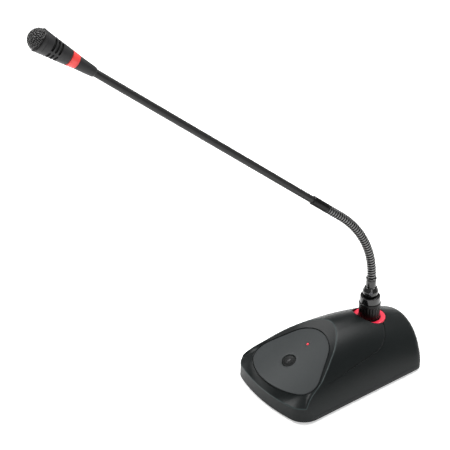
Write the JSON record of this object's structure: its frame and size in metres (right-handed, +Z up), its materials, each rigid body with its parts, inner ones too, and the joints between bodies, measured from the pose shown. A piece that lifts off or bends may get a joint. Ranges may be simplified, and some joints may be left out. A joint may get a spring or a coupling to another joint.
{
  "type": "gooseneck podium microphone",
  "caption": "Desk gooseneck microphone: weighted base with push button and red lit socket ring, plug-in flexible neck, long straight arm and lit capsule head.",
  "frame": {"origin": "on the desk under the base, 47 mm in front of the socket's axis and 7 mm in front of the base's middle", "axes": "+Z up, -Y towards the talker, +X to the right of someone who looks along +Y"},
  "size_m": [0.1348, 0.3193, 0.355],
  "materials": {
    "charcoal_plastic": "fine matt texture, moulded",
    "base_plastic": "matt, moulded",
    "control_plate_grey": "satin",
    "button_black": "satin",
    "foot_rubber": "matt",
    "weight_steel": "plated sheet",
    "screw_steel": "black plated",
    "circuit_board": "solder mask",
    "switch_body": "moulded",
    "red_lamp": "clear red",
    "red_light_ring": "translucent red",
    "socket_metal": "black, satin",
    "connector_insert": "moulded",
    "contact_gold": "gold plated",
    "gloss_black_metal": "gloss black",
    "collar_black": "satin black",
    "neck_black": "satin black, ribbed",
    "tube_black": "satin black",
    "head_black": "satin",
    "grille_black": "woven wire, black"
  },
  "bodies": {
    "base": {"top_housing": "charcoal_plastic", "bottom_cover": "base_plastic", "ballast_plate": "weight_steel", "foot_1": "foot_rubber", "foot_2": "foot_rubber", "foot_3": "foot_rubber", "foot_4": "foot_rubber", "cover_screw_1": "screw_steel", "cover_screw_2": "screw_steel", "cover_screw_3": "screw_steel", "cover_screw_4": "screw_steel", "control_plate": "control_plate_grey", "status_led": "red_lamp", "main_board": "circuit_board", "tact_switch": "switch_body", "board_screw_1": "screw_steel", "board_screw_2": "screw_steel", "base_light_ring": "red_light_ring", "ring_board": "circuit_board", "socket_nut": "screw_steel", "neck_socket": "socket_metal", "socket_insert": "connector_insert", "socket_contact_1": "contact_gold", "socket_contact_2": "contact_gold", "socket_contact_3": "contact_gold", "output_shell": "socket_metal", "output_insert": "connector_insert", "output_pin_1": "contact_gold", "output_pin_2": "contact_gold", "output_pin_3": "contact_gold", "output_screw_1": "screw_steel", "output_screw_2": "screw_steel"},
    "mic_button": {"mic_button": "button_black"},
    "plug": {"plug_body": "gloss_black_metal", "plug_insert": "connector_insert", "plug_pin_1": "contact_gold", "plug_pin_2": "contact_gold", "plug_pin_3": "contact_gold", "neck_set_screw": "screw_steel", "neck_ferrule": "collar_black", "flex_root": "neck_black"},
    "lock_collar": {"lock_collar": "collar_black"},
    "flex_1": {"flex_segment_1": "neck_black"},
    "flex_2": {"flex_segment_2": "neck_black"},
    "flex_3": {"flex_segment_3": "neck_black"},
    "flex_4": {"flex_segment_4": "neck_black"},
    "flex_5": {"flex_segment_5": "neck_black"},
    "flex_6": {"flex_segment_6": "neck_black"},
    "arm": {"flex_tip": "neck_black", "tube_ferrule": "collar_black", "arm_tube": "tube_black", "head_cone": "head_black", "head_light_ring": "red_light_ring", "capsule_housing": "head_black", "capsule_holder": "foot_rubber", "capsule": "screw_steel", "mesh_grille": "grille_black"}
  },
  "joints": [
    {"name": "button_press", "type": "slide", "parent": "base", "child": "mic_button", "axis": [0, 0.4079, -0.913], "range_m": [0, 0.0012], "stiffness_N_per_m": 600},
    {"name": "mic_unplug", "type": "slide", "parent": "base", "child": "plug", "axis": [0, 0, 1], "range_m": [0, 0.022]},
    {"name": "collar_turn", "type": "hinge", "parent": "plug", "child": "lock_collar", "pos_m": [0, 0.047, 0.04615], "axis": [0, 0, 1], "range_deg": [0, 90]},
    {"name": "neck_bend_1", "type": "hinge", "parent": "plug", "child": "flex_1", "pos_m": [-0.00007, 0.04676, 0.09378], "axis": [0.9625, -0.2711, 0], "range_deg": [-20, 10]},
    {"name": "neck_sway_1", "type": "hinge", "parent": "flex_1", "child": "flex_2", "pos_m": [-0.00061, 0.04482, 0.10668], "axis": [0.2582, 0.9167, 0.3049], "range_deg": [-20, 20]},
    {"name": "neck_bend_2", "type": "hinge", "parent": "flex_2", "child": "flex_3", "pos_m": [-0.00169, 0.04099, 0.11912], "axis": [0.9625, -0.2711, 0], "range_deg": [-20, 10]},
    {"name": "neck_sway_2", "type": "hinge", "parent": "flex_3", "child": "flex_4", "pos_m": [-0.00328, 0.03535, 0.1308], "axis": [0.2207, 0.7836, 0.5807], "range_deg": [-20, 20]},
    {"name": "neck_bend_3", "type": "hinge", "parent": "flex_4", "child": "flex_5", "pos_m": [-0.00534, 0.02805, 0.14143], "axis": [0.9626, -0.2711, 0], "range_deg": [-20, 10]},
    {"name": "neck_sway_3", "type": "hinge", "parent": "flex_5", "child": "flex_6", "pos_m": [-0.00781, 0.01926, 0.15077], "axis": [0.1684, 0.5979, 0.7837], "range_deg": [-20, 20]},
    {"name": "neck_bend_4", "type": "hinge", "parent": "flex_6", "child": "arm", "pos_m": [-0.01059, 0.0094, 0.15888], "axis": [0.9626, -0.2711, 0], "range_deg": [-20, 10]}
  ],
  "couplings": [
    {"joint": "neck_bend_2", "follows": "neck_bend_1", "ratio": 1},
    {"joint": "neck_bend_3", "follows": "neck_bend_1", "ratio": 1},
    {"joint": "neck_bend_4", "follows": "neck_bend_1", "ratio": 1},
    {"joint": "neck_sway_2", "follows": "neck_sway_1", "ratio": 1},
    {"joint": "neck_sway_3", "follows": "neck_sway_1", "ratio": 1}
  ]
}
